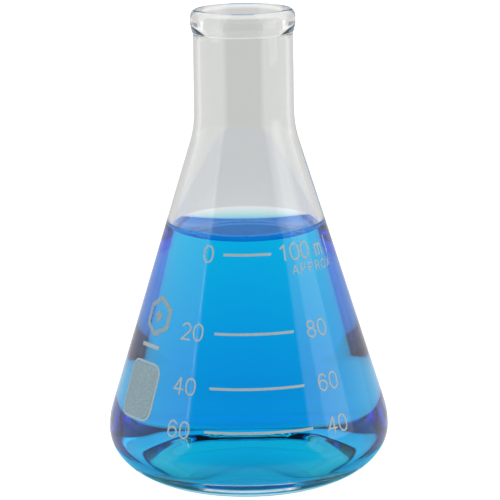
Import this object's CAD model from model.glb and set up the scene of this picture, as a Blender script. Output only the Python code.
"""Looks of the Erlenmeyer flask: clear glass, blue liquid, fired enamel, on a pale studio floor."""

from math import acosh, asin, cos, degrees, dist, pi, radians, sin, sqrt, tan

import bmesh
import bpy
from mathutils import Matrix, Vector


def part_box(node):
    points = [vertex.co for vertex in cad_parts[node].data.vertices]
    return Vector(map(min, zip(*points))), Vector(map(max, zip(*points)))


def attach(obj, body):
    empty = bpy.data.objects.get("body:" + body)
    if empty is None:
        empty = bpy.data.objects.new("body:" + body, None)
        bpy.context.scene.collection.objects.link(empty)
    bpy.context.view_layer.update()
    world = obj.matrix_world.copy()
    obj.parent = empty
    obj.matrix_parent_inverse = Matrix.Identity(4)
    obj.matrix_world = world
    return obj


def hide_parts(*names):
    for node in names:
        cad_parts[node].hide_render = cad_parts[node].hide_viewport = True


MM = 0.001

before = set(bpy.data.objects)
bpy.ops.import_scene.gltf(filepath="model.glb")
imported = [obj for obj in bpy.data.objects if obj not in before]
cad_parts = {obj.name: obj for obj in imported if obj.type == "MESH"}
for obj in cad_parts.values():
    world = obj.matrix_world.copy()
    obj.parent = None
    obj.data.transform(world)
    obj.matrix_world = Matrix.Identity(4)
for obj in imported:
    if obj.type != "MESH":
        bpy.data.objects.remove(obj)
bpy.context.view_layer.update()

# Glass body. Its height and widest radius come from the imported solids.
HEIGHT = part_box("flask_body")[1].z
BODY_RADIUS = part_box("flask_body")[1].x
HEEL_HEIGHT = 11.1 * MM  # of the widest circle above the base
HEEL_RADIUS = 18.0 * MM  # of the heel's curve, measured across
HEEL_DROP = 12.0 * MM  # of the heel's curve, measured down
HEEL_CORNER = 1.0 * MM  # length of the rounding where the heel meets the base
CONE_ANGLE = radians(17.3)  # between the cone and the upright
SHOULDER_RADIUS = 22.5 * MM  # of the hollow curve from the cone to the neck
NECK_RADIUS = 11.05 * MM
WALL = 1.5 * MM  # thickness
BASE_THICKNESS = 5.5 * MM
PUSH_UP = 0.6 * MM  # height of the base's raised middle
RING_WIDTH = 2.4 * MM  # of the flat ring that the flask stands on
BEAD_RADIUS = 11.55 * MM
BEAD_BORE = 8.7 * MM  # radius inside the bead
BEAD_WIDEST = 1.85 * MM  # of the bead's widest circle, below the rim
BEAD_LIP_OUTSIDE = 1.2 * MM  # width of the rim's rounding, outside
BEAD_LIP_INSIDE = 0.9 * MM  # width of the rim's rounding, inside
BEAD_TUCK = 0.7 * MM  # width of the rounding under the bead
BEAD_HEIGHT = 5.2 * MM
BEAD_FADE = 6.5 * MM  # depth over which the bore narrows into the bead
TURN_STEPS = 240  # of the turned surfaces, once round

# Liquid
LIQUID_LEVEL = 54.8 * MM  # in the middle of the surface
MENISCUS_RISE = 3.15 * MM  # at the wall
CAPILLARY = 2.7 * MM  # length that sets how far the meniscus reaches from the wall

# Refractive indices and colours
GLASS_IOR = 1.473
WATER_IOR = 1.334
GLASS_TINT = (0.985, 0.993, 0.979, 1.0)
DYE_COLOUR = (0.0, 0.905, 0.987, 1.0)  # what light keeps for each unit of optical depth
DYE_DENSITY = 200.0  # per metre
SCALE_COLOUR = (0.33, 0.41, 0.43)
MARKING_COLOUR = (0.245, 0.345, 0.38)

# Slight waviness that forming leaves in the glass, and the grain of the enamel
GLASS_WAVES = 70.0  # per metre
GLASS_WAVE_HEIGHT = 0.015 * MM
GRAINS = 2600.0  # per metre
GRAIN_HEIGHT = 0.05 * MM

# Prints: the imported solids, brought down onto the glass
PRINT_MIDDLE = 0.37 * MM  # height above the glass that parts a packed print's two faces
ENAMEL_INSIDE = 0.01 * MM  # height of a print's inner face above the glass
ENAMEL_OUTSIDE = 0.05 * MM  # height of a print's outer face above the glass
LONGEST_EDGE = 0.6 * MM  # on a print, so that it follows the curve of the glass
SPLIT_ROUNDS = 6  # at most, to get there
WELD = 0.002 * MM  # distance within which a print's points are one
SHARP_ANGLE = radians(40)  # between faces that aren't shaded as one surface

# Camera
LENS = 194.7  # focal length in millimetres, for a sensor 36 mm wide
CAMERA_PLACE = (0.0, -0.5895, 0.17736)
CAMERA_PITCH = radians(12.09)  # downwards
CAMERA_YAW = radians(0.081)  # to the right
CAMERA_ROLL = radians(-0.866)

# Floor. Distances are from the middle of the flask, as (start, end) of a change.
FLOOR_RADIUS = 3.0
FLOOR_GAP = 0.05 * MM  # below the base
FLOOR_CLOTH = 0.35  # reflectance
FLOOR_GLOW = 0.5  # light that it gives of its own
FLOOR_LIFT = 0.5  # further light towards the camera
FLOOR_FALL = (0.15, 0.4)  # over which it dims behind the flask
FLOOR_FAR = 0.76  # share of its light that is left there
FLOOR_FAR_EDGE = (radians(45), radians(15))  # bearings over which the dimmed part begins
FLOOR_MIRRORED = 0.35  # share of its light left where the liquid's surface mirrors it
FLOOR_MIRRORED_EDGE = (radians(12), radians(7))  # bearings over which that part begins
UNDER_FLASK = (0.034, 0.045)  # over which the blue light that falls through the flask ends
UNDER_TINT = (0.06, 0.86, 1.15, 1.0)  # its colour

# Light tent of white cloth, open at the front
TENT_LIGHT = 1.32  # of the cloth
SEEN_LIGHT = 1.25  # least light of the cloth where the camera sees it, so that it is white
OPENING_DEPTH = 0.93  # how dark the open front is
OPENING_HALF_ANGLE = radians(47)
OPENING_EDGE = radians(2)  # softness of its edge
OPENING_FLARE = 0.29  # how much it widens upwards
OPENING_TOP = radians(40)
OPENING_FLOOR = (0.03, 0.06)  # distances over which the dark floor in front begins
HEM_WIDTH = radians(1.0)  # of the bright hem at the left of the opening
HEM_LIGHT = 3.0
BACKDROP_DIM = 0.38  # how much dimmer the cloth behind the flask is
BACKDROP_HALF_ANGLE = radians(45)
BACKDROP_TOP = radians(22)
BACKDROP_EDGE = radians(8)  # softness of its edge
GAP_DEPTH = 0.65  # how dark the gap above the backdrop is in reflections
GAP_HALF_ANGLE = radians(28)
GAP_EDGE = radians(4)  # softness of its sides and top
GAP_LOW = radians(9)
GAP_LOW_EDGE = radians(1)  # softness of its bottom
GAP_HIGH = radians(24)
SOFTBOX_DISTANCE = 0.7  # from the flask's axis

# Counts of bounces on a light path
MIRRORED = 0.5  # more than this: mirrored at least once
FEW_REFRACTIONS = 5.0  # on the short paths that are mirrored inside the flask


def arc(centre, radii, start, end, steps):
    """Points of an ellipse, given as its centre and two radii, from one angle in degrees to another."""
    angles = [radians(start + (end - start) * i / steps) for i in range(steps + 1)]
    return [(centre[0] + radii[0] * cos(a), centre[1] + radii[1] * sin(a)) for a in angles]


def shoulder_height():
    """Height at which the shoulder's curve meets the straight neck."""
    foot_radius = BODY_RADIUS - HEEL_RADIUS * (1 - cos(CONE_ANGLE))
    foot_height = HEEL_HEIGHT + HEEL_RADIUS * sin(CONE_ANGLE)
    top_radius = NECK_RADIUS + SHOULDER_RADIUS * (1 - cos(CONE_ANGLE))
    top_height = foot_height + (foot_radius - top_radius) / tan(CONE_ANGLE)
    return top_height + SHOULDER_RADIUS * sin(CONE_ANGLE)


def cone_radius(height, offset=0.0):
    """Radius of the cone at a height, for a surface offset outwards from the outside of the glass."""
    foot_radius = BODY_RADIUS - HEEL_RADIUS * (1 - cos(CONE_ANGLE))
    foot_height = HEEL_HEIGHT + HEEL_RADIUS * sin(CONE_ANGLE)
    return foot_radius - (height - foot_height) * tan(CONE_ANGLE) + offset / cos(CONE_ANGLE)


def rounded(before, corner, after, steps=5):
    """Points that round a corner off between one point before it and one after it."""
    points = []
    for i in range(steps + 1):
        t = i / steps
        weights = ((1 - t) ** 2, 2 * t * (1 - t), t**2)
        weighted = list(zip(weights, (before, corner, after)))
        points.append(tuple(sum(w * point[axis] for w, point in weighted) for axis in (0, 1)))
    return points


def body_outline(offset, floor, heel_steps=24, shoulder_steps=16):
    """The wall's section from the edge of the flat base to the neck, offset outwards."""
    centre = (BODY_RADIUS - HEEL_RADIUS, HEEL_HEIGHT)
    radii = (HEEL_RADIUS + offset, HEEL_DROP + offset)
    foot_angle = asin((HEEL_HEIGHT - floor) / radii[1])
    corner = (centre[0] + radii[0] * cos(foot_angle), floor)
    heel = arc(centre, radii, -degrees(foot_angle), 0, heel_steps)
    kept = [point for point in heel if dist(point, corner) > HEEL_CORNER]
    below = rounded((corner[0] - HEEL_CORNER, floor), corner, kept[0]) + kept[1:]
    above = arc(centre, (radii[0], radii[0]), 0, degrees(CONE_ANGLE), 8)
    hollow = SHOULDER_RADIUS - offset
    hub = (NECK_RADIUS + SHOULDER_RADIUS, shoulder_height())
    shoulder = arc(hub, (-hollow, -hollow), degrees(CONE_ANGLE), 0, shoulder_steps)
    return below + above[1:] + shoulder


def bead_outline():
    """The bead's section, from the bore up over the rim and down to under the bead."""
    steps = 12
    bore = NECK_RADIUS - WALL
    fade_low = HEIGHT - BEAD_FADE
    fade_high = HEIGHT - BEAD_WIDEST
    swelling = []
    for i in range(steps + 1):
        ease = (1 - cos(pi * i / steps)) / 2
        height = fade_low + (fade_high - fade_low) * i / steps
        swelling.append((bore + (BEAD_BORE - bore) * ease, height))
    inner_centre = (BEAD_BORE + BEAD_LIP_INSIDE, fade_high)
    lip_inside = arc(inner_centre, (BEAD_LIP_INSIDE, BEAD_WIDEST), 180, 90, steps)
    lip_centre = (BEAD_RADIUS - BEAD_LIP_OUTSIDE, fade_high)
    lip_outside = arc(lip_centre, (BEAD_LIP_OUTSIDE, BEAD_WIDEST), 90, 0, steps)
    tuck_centre = (BEAD_RADIUS - BEAD_TUCK, fade_high)
    tuck = arc(tuck_centre, (BEAD_TUCK, BEAD_HEIGHT - BEAD_WIDEST), 0, -80, steps)
    return swelling + lip_inside[1:] + lip_outside + tuck[1:]


def lathe(name, outline, slots, steps=TURN_STEPS):
    """A closed solid of revolution. outline runs from the axis round and back to the axis, and slots
    gives the material slot of each stretch of it."""
    verts = []
    rows = []
    for radius, height in outline:
        if radius == 0.0:
            rows.append([len(verts)])
            verts.append((0.0, 0.0, height))
        else:
            rows.append(list(range(len(verts), len(verts) + steps)))
            turns = [2 * pi * i / steps for i in range(steps)]
            verts += [(radius * cos(turn), radius * sin(turn), height) for turn in turns]
    faces = []
    kinds = []
    for low, high, slot in zip(rows, rows[1:], slots):
        for i in range(steps):
            j = (i + 1) % steps
            ring = [low[i % len(low)], low[j % len(low)], high[j % len(high)], high[i % len(high)]]
            ring = [v for k, v in enumerate(ring) if v not in ring[:k]]
            faces.append(ring)
            kinds.append(slot)
    mesh = bpy.data.meshes.new(name)
    mesh.from_pydata(verts, [], faces)
    mesh.polygons.foreach_set("material_index", kinds)
    mesh.update()
    shape = bmesh.new()
    shape.from_mesh(mesh)
    bmesh.ops.recalc_face_normals(shape, faces=shape.faces)
    shape.to_mesh(mesh)
    shape.free()
    mesh.shade_smooth()
    mesh.set_sharp_from_angle(angle=SHARP_ANGLE)
    made = bpy.data.objects.new(name, mesh)
    bpy.context.scene.collection.objects.link(made)
    return made


def contact_height():
    """Height at which the liquid's surface meets the wall."""
    return LIQUID_LEVEL + MENISCUS_RISE


def meniscus_outline(offset):
    """From the axis to the wall: the curve that surface tension and weight give."""
    steps = 60
    reach = cone_radius(contact_height(), offset)

    def across(rise):
        return CAPILLARY * acosh(2 * CAPILLARY / rise) - sqrt(4 * CAPILLARY**2 - rise**2)

    points = [(0.0, LIQUID_LEVEL)]
    for i in range(1, steps + 1):
        rise = MENISCUS_RISE * (i / steps) ** 2
        radius = reach - across(rise) + across(MENISCUS_RISE)
        if radius > MM:
            points.append((radius, LIQUID_LEVEL + rise))
    return points


def push_up_outline(radius, height):
    """The dome of a pushed-up base, from the axis to just before the edge that lies at this height."""
    steps = 6
    return [(radius * i / steps, height + PUSH_UP * (1 - (i / steps) ** 2)) for i in range(steps)]


def flask_outline():
    """The glass's section, the slot of each stretch of it, and the stretch that the liquid wets."""
    inside = body_outline(-WALL, BASE_THICKNESS)
    outside = body_outline(0.0, 0.0)
    contact = (cone_radius(contact_height(), -WALL), contact_height())
    wet = [p for p in inside if p[1] < contact_height()]
    dry = [p for p in inside if p[1] > contact_height()]
    ring_inner = outside[0][0] - RING_WIDTH
    wet_line = push_up_outline(inside[0][0], BASE_THICKNESS) + wet + [contact]
    under = [(ring_inner, 0.0)] + push_up_outline(ring_inner, 0.0)[::-1]
    outline = wet_line + dry + bead_outline() + outside[::-1] + under
    slots = [1] * (len(wet_line) - 1) + [0] * (len(outline) - len(wet_line))
    return outline, slots, wet_line


def build_flask(glass, wetted):
    """The glass. Where it is wet, the liquid's own wall stands for the surface between the two."""
    outline, slots, _ = flask_outline()
    flask = lathe("glass_body", outline, slots)
    flask.data.materials.append(glass)
    flask.data.materials.append(wetted)
    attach(flask, "root")
    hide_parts("flask_body")


def build_liquid(material):
    """The liquid. Its faces carry wall: 1 against the glass and 0 on the open surface."""
    _, _, wet_line = flask_outline()
    overlap = 0.004 * MM
    wet = [(radius + overlap if radius > 0 else 0.0, height) for radius, height in wet_line]
    top = meniscus_outline(-WALL)
    top[-1] = (wet[-1][0], wet[-1][1])
    outline = top[:-1] + wet[::-1]
    liquid = lathe("liquid", outline, [0] * (len(outline) - 1))
    wall = liquid.data.attributes.new("wall", "FLOAT", "FACE")
    open_rings = len(top) - 1
    wall_rings = len(outline) - 1 - open_rings
    flags = [0.0] * open_rings * TURN_STEPS + [1.0] * wall_rings * TURN_STEPS
    wall.data.foreach_set("value", flags)
    liquid.data.materials.append(material)
    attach(liquid, "root")
    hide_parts("blue_liquid")


class Graph:
    """Short ways to add nodes to a node tree and wire them up."""

    def __init__(self, tree):
        self.nodes = tree.nodes
        self.links = tree.links

    def add(self, kind, inputs=None, **settings):
        """A node with settings and with inputs by name or number: a socket is linked, a value is set."""
        node = self.nodes.new(kind)
        for key, value in settings.items():
            setattr(node, key, value)
        for key, value in (inputs or {}).items():
            if isinstance(value, bpy.types.NodeSocket):
                self.links.new(value, node.inputs[key])
            else:
                node.inputs[key].default_value = value
        return node

    def math(self, operation, first, second=0.0):
        """The result of a sum on values or sockets."""
        return self.add("ShaderNodeMath", {0: first, 1: second}, operation=operation).outputs[0]

    def product(self, *factors):
        """Its factors multiplied together."""
        result = factors[0]
        for factor in factors[1:]:
            result = self.math("MULTIPLY", result, factor)
        return result

    def rest(self, share):
        """What is left of 1 when a share is taken off."""
        return self.math("SUBTRACT", 1.0, share)

    def ease(self, value, start, end):
        """0 below start and 1 above end, with a smooth rise between."""
        settings = {"Value": value, "From Min": start, "From Max": end}
        return self.add("ShaderNodeMapRange", settings, interpolation_type="SMOOTHSTEP").outputs["Result"]

    def around(self, cosine, half_angle, edge):
        """1 within a half angle of a direction, given the cosine of the angle to it."""
        return self.ease(cosine, cos(half_angle + edge), cos(half_angle - edge))

    def over(self, height, elevation, edge):
        """1 above an elevation, given the sine of a direction's elevation."""
        return self.ease(height, sin(elevation - edge), sin(elevation + edge))


def node_material(name):
    """A new material and its graph."""
    made = bpy.data.materials.new(name)
    made.use_nodes = True
    return made, Graph(made.node_tree)


def glass_material():
    """Clear glass, very slightly wavy and very slightly green."""
    made, graph = node_material("borosilicate_glass")
    shader = graph.nodes["Principled BSDF"]
    place = graph.add("ShaderNodeTexCoord").outputs["Object"]
    noise = {"Vector": place, "Scale": GLASS_WAVES, "Detail": 1.0}
    wave = graph.add("ShaderNodeTexNoise", noise).outputs["Fac"]
    relief = {"Strength": 1.0, "Distance": GLASS_WAVE_HEIGHT, "Height": wave}
    bump = graph.add("ShaderNodeBump", relief).outputs[0]
    graph.links.new(bump, shader.inputs["Normal"])
    shader.inputs["Base Color"].default_value = GLASS_TINT
    shader.inputs["Roughness"].default_value = 0.0
    shader.inputs["IOR"].default_value = GLASS_IOR
    shader.inputs["Transmission Weight"].default_value = 1.0
    return made


def wetted_material():
    """Lets light pass to the liquid's wall, which bends it for both."""
    made, graph = node_material("wetted_glass")
    graph.nodes.remove(graph.nodes["Principled BSDF"])
    clear = graph.add("ShaderNodeBsdfTransparent").outputs[0]
    graph.links.new(clear, graph.nodes["Material Output"].inputs["Surface"])
    return made


def liquid_material():
    """Blue dye in water. Against the glass it bends light as between glass and water."""
    made, graph = node_material("blue_liquid")
    shader = graph.nodes["Principled BSDF"]
    shader.inputs["Base Color"].default_value = (1.0, 1.0, 1.0, 1.0)
    shader.inputs["Roughness"].default_value = 0.0
    shader.inputs["Transmission Weight"].default_value = 1.0
    shader.inputs["IOR"].default_value = WATER_IOR
    wall = graph.add("ShaderNodeAttribute", attribute_name="wall").outputs["Fac"]
    indices = {"Value": wall, "To Min": WATER_IOR, "To Max": WATER_IOR / GLASS_IOR}
    index = graph.add("ShaderNodeMapRange", indices).outputs["Result"]
    graph.links.new(index, shader.inputs["IOR"])
    absorb = graph.add("ShaderNodeVolumeAbsorption")
    absorb.inputs["Color"].default_value = DYE_COLOUR
    absorb.inputs["Density"].default_value = DYE_DENSITY
    graph.links.new(absorb.outputs[0], graph.nodes["Material Output"].inputs["Volume"])
    return made


def place_camera():
    """A long lens a little above the flask, rolled slightly."""
    data = bpy.data.cameras.new("camera")
    data.sensor_width = 36.0
    data.lens = LENS
    data.clip_start = 0.01
    camera = bpy.data.objects.new("camera", data)
    bpy.context.scene.collection.objects.link(camera)
    level = Vector((sin(CAMERA_YAW), cos(CAMERA_YAW), 0.0))
    forward = cos(CAMERA_PITCH) * level - Vector((0.0, 0.0, sin(CAMERA_PITCH)))
    right = Vector((cos(CAMERA_YAW), -sin(CAMERA_YAW), 0.0))
    up = right.cross(forward)
    rolled_right = cos(CAMERA_ROLL) * right + sin(CAMERA_ROLL) * up
    rolled_up = cos(CAMERA_ROLL) * up - sin(CAMERA_ROLL) * right
    place = Matrix((rolled_right, rolled_up, -forward)).transposed().to_4x4()
    place.translation = Vector(CAMERA_PLACE)
    camera.matrix_world = place
    bpy.context.scene.camera = camera


def facing(graph, direction, azimuth):
    """Cosine of the horizontal angle between a direction and an azimuth, which is 0 behind the flask."""
    parts = graph.add("ShaderNodeSeparateXYZ", {0: direction}).outputs
    level = graph.add("ShaderNodeCombineXYZ", {"X": parts["X"], "Y": parts["Y"]}).outputs[0]
    unit = graph.add("ShaderNodeVectorMath", {0: level}, operation="NORMALIZE").outputs[0]
    turn = radians(azimuth)
    aim = (sin(turn), cos(turn), 0.0)
    return graph.add("ShaderNodeVectorMath", {0: unit, 1: aim}, operation="DOT_PRODUCT").outputs["Value"]


def opening_side(graph, direction):
    """Grows towards the middle of the open front of the light tent, where the camera stands."""
    parts = graph.add("ShaderNodeSeparateXYZ", {0: direction})
    flare = graph.math("MULTIPLY", parts.outputs["Z"], OPENING_FLARE)
    return graph.math("ADD", facing(graph, direction, 180.0), flare)


def front_opening(graph, direction):
    """Above 0 towards the open front, and 0 elsewhere."""
    side = opening_side(graph, direction)
    inside = graph.around(side, OPENING_HALF_ANGLE, OPENING_EDGE)
    return graph.math("MULTIPLY", inside, OPENING_DEPTH)


def bright_hem(graph, direction):
    """1 on the narrow bright hem along the left side of the open front."""
    side = opening_side(graph, direction)
    outer = OPENING_HALF_ANGLE + OPENING_EDGE + HEM_WIDTH
    inner = OPENING_HALF_ANGLE + OPENING_EDGE
    past_outer = graph.math("GREATER_THAN", side, cos(outer))
    before_inner = graph.math("LESS_THAN", side, cos(inner))
    across = graph.add("ShaderNodeSeparateXYZ", {0: direction}).outputs["X"]
    left = graph.math("LESS_THAN", across, 0.0)
    return graph.product(past_outer, before_inner, left)


def studio_world():
    """White cloth all round. Its open front shows only in reflections."""
    world = bpy.data.worlds.new("light_tent")
    world.use_nodes = True
    graph = Graph(world.node_tree)
    graph.nodes.clear()
    direction = graph.add("ShaderNodeTexCoord").outputs["Generated"]
    height = graph.add("ShaderNodeSeparateXYZ", {0: direction}).outputs["Z"]
    path = graph.add("ShaderNodeLightPath").outputs
    mirrored = graph.math("GREATER_THAN", path["Glossy Depth"], MIRRORED)
    low = graph.rest(graph.over(height, OPENING_TOP, OPENING_EDGE))
    dark = graph.product(front_opening(graph, direction), low, mirrored)
    back = facing(graph, direction, 0.0)
    under_top = graph.rest(graph.over(height, BACKDROP_TOP, BACKDROP_EDGE))
    dim = graph.product(graph.around(back, BACKDROP_HALF_ANGLE, BACKDROP_EDGE), under_top, BACKDROP_DIM)
    behind = graph.around(back, GAP_HALF_ANGLE, GAP_EDGE)
    above = graph.over(height, GAP_LOW, GAP_LOW_EDGE)
    below = graph.math("MULTIPLY", graph.rest(graph.over(height, GAP_HIGH, GAP_EDGE)), GAP_DEPTH)
    first = graph.math("LESS_THAN", path["Transmission Depth"], FEW_REFRACTIONS + 0.5)
    gap = graph.product(behind, above, below, mirrored, first)
    lit = graph.product(graph.rest(dark), graph.rest(gap), graph.rest(dim), TENT_LIGHT)
    hem = graph.product(bright_hem(graph, direction), mirrored, HEM_LIGHT, low)
    light = graph.math("ADD", lit, hem)
    seen = graph.math("MULTIPLY", path["Is Camera Ray"], SEEN_LIGHT)
    strength = graph.math("MAXIMUM", light, seen)
    background = graph.add("ShaderNodeBackground", {"Strength": strength}).outputs[0]
    graph.add("ShaderNodeOutputWorld", {"Surface": background})
    bpy.context.scene.world = world


def floor_material():
    """Pale cloth that dims behind the flask, and is dark in front of it where it is mirrored."""
    made = bpy.data.materials.new("studio_floor")
    made.use_nodes = True
    graph = Graph(made.node_tree)
    graph.nodes.clear()
    position = graph.add("ShaderNodeNewGeometry").outputs["Position"]
    path = graph.add("ShaderNodeLightPath").outputs
    mirrored = graph.math("GREATER_THAN", path["Glossy Depth"], MIRRORED)
    length = graph.add("ShaderNodeVectorMath", {0: position}, operation="LENGTH")
    distance = length.outputs["Value"]
    away = graph.ease(distance, *OPENING_FLOOR)
    dark = graph.product(front_opening(graph, position), away, mirrored)
    back = facing(graph, position, 0.0)
    behind = graph.ease(back, *[cos(angle) for angle in FLOOR_FAR_EDGE])
    straight = graph.ease(back, *[cos(angle) for angle in FLOOR_MIRRORED_EDGE])
    fall = graph.product(graph.ease(distance, *FLOOR_FALL), behind, 1.0 - FLOOR_FAR)
    first = graph.math("COMPARE", path["Transmission Depth"], FEW_REFRACTIONS)
    mirror_fall = graph.product(mirrored, first, straight, 1.0 - FLOOR_MIRRORED)
    level = graph.product(graph.rest(fall), graph.rest(mirror_fall))
    near = graph.rest(graph.ease(distance, *UNDER_FLASK))
    under = graph.product(near, graph.rest(path["Is Camera Ray"]))
    shades = {0: under, 6: (1.0, 1.0, 1.0, 1.0), 7: UNDER_TINT}
    tint = graph.add("ShaderNodeMix", shades, data_type="RGBA").outputs[2]
    reflectance = graph.math("MULTIPLY", level, FLOOR_CLOTH)
    cloth = graph.add("ShaderNodeBsdfDiffuse", {"Color": reflectance}).outputs[0]
    lift = graph.math("MULTIPLY", path["Is Camera Ray"], FLOOR_LIFT)
    strength = graph.math("ADD", graph.math("MULTIPLY", level, FLOOR_GLOW), lift)
    glow = graph.add("ShaderNodeEmission", {"Color": tint, "Strength": strength}).outputs[0]
    pale = graph.add("ShaderNodeAddShader", {0: cloth, 1: glow}).outputs[0]
    black = graph.add("ShaderNodeBsdfDiffuse", {"Color": (0.0, 0.0, 0.0, 1.0)}).outputs[0]
    mixed = graph.add("ShaderNodeMixShader", {0: dark, 1: pale, 2: black}).outputs[0]
    graph.add("ShaderNodeOutputMaterial", {"Surface": mixed})
    return made


def build_floor():
    """A round pale floor, just under the flask."""
    mesh = bpy.data.meshes.new("floor")
    shape = bmesh.new()
    bmesh.ops.create_circle(shape, cap_ends=True, segments=96, radius=FLOOR_RADIUS)
    shape.to_mesh(mesh)
    shape.free()
    mesh.materials.append(floor_material())
    floor = bpy.data.objects.new("floor", mesh)
    floor.location.z = -FLOOR_GAP
    bpy.context.scene.collection.objects.link(floor)


def softbox(name, azimuth, height, size, radiance):
    """A rectangular light that faces the flask."""
    data = bpy.data.lights.new(name, "AREA")
    data.shape = "RECTANGLE"
    data.size, data.size_y = size
    data.energy = radiance * pi * size[0] * size[1]
    light = bpy.data.objects.new(name, data)
    turn = radians(azimuth)
    light.location = (SOFTBOX_DISTANCE * sin(turn), SOFTBOX_DISTANCE * cos(turn), height)
    aim = Vector((0.0, 0.0, HEIGHT / 2)) - light.location
    light.rotation_euler = aim.to_track_quat("-Z", "Y").to_euler()
    light.visible_camera = False
    bpy.context.scene.collection.objects.link(light)


def enamel_material(name, colour, contrast, roughness):
    """Fired enamel with a fine grain. contrast is how far the grain moves its colour."""
    made, graph = node_material(name)
    shader = graph.nodes["Principled BSDF"]
    place = graph.add("ShaderNodeTexCoord").outputs["Object"]
    noise = {"Vector": place, "Scale": GRAINS, "Detail": 3.0}
    grain = graph.add("ShaderNodeTexNoise", noise).outputs["Fac"]
    given = {"Value": grain, "From Min": 0.3, "From Max": 0.7}
    wanted = {"To Min": 1 - contrast, "To Max": 1 + contrast}
    value = graph.add("ShaderNodeMapRange", given | wanted).outputs["Result"]
    tint = graph.add("ShaderNodeVectorMath", {0: colour, "Scale": value}, operation="SCALE").outputs[0]
    graph.links.new(tint, shader.inputs["Base Color"])
    relief = {"Strength": 0.3, "Distance": GRAIN_HEIGHT, "Height": grain}
    bump = graph.add("ShaderNodeBump", relief).outputs[0]
    graph.links.new(bump, shader.inputs["Normal"])
    shader.inputs["Roughness"].default_value = roughness
    return made


def enamel_piece(node, finish):
    """One printed piece, brought down from its CAD clearance onto the glass."""
    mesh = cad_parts[node].data.copy()
    mesh.name = f"{node}_enamel"
    mesh.materials.clear()
    shape = bmesh.new()
    shape.from_mesh(mesh)
    bmesh.ops.remove_doubles(shape, verts=shape.verts, dist=WELD)
    bmesh.ops.triangulate(shape, faces=shape.faces)
    for _ in range(SPLIT_ROUNDS):
        long = [edge for edge in shape.edges if edge.calc_length() > LONGEST_EDGE]
        if not long:
            break
        bmesh.ops.subdivide_edges(shape, edges=long, cuts=1)
        bmesh.ops.triangulate(shape, faces=shape.faces)
    for vert in shape.verts:
        out = Vector((vert.co.x, vert.co.y, 0.0))
        offset = (out.length - cone_radius(vert.co.z)) * cos(CONE_ANGLE)
        target = ENAMEL_OUTSIDE if offset > PRINT_MIDDLE else ENAMEL_INSIDE
        normal = out.normalized() * cos(CONE_ANGLE) + Vector((0.0, 0.0, sin(CONE_ANGLE)))
        vert.co += normal * (target - offset)
    shape.to_mesh(mesh)
    shape.free()
    mesh.materials.append(finish)
    mesh.shade_smooth()
    mesh.set_sharp_from_angle(angle=SHARP_ANGLE)
    piece = bpy.data.objects.new(f"{node}_enamel", mesh)
    bpy.context.scene.collection.objects.link(piece)
    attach(piece, "root")
    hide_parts(node)


place_camera()
build_flask(glass_material(), wetted_material())
build_liquid(liquid_material())
FINISHES = {
    "scale_enamel": enamel_material("scale_enamel", SCALE_COLOUR, contrast=0.08, roughness=0.5),
    "marking_enamel": enamel_material("marking_enamel", MARKING_COLOUR, contrast=0.2, roughness=0.8),
}
MARKING_NODES = ("marking_spot", "emblem_ring", "emblem_core")
for node in sorted(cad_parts):
    if node not in ("flask_body", "blue_liquid"):
        slot = "marking_enamel" if node in MARKING_NODES else "scale_enamel"
        enamel_piece(node, FINISHES[slot])
build_floor()
studio_world()
softbox("softbox_right", azimuth=100.0, height=0.25, size=(0.35, 0.5), radiance=1.0)

scene = bpy.context.scene
scene.view_settings.view_transform = "Standard"
scene.cycles.max_bounces = 32
scene.cycles.transmission_bounces = 32
scene.cycles.glossy_bounces = 24
scene.cycles.diffuse_bounces = 4
scene.cycles.transparent_max_bounces = 64
scene.cycles.use_denoising = True
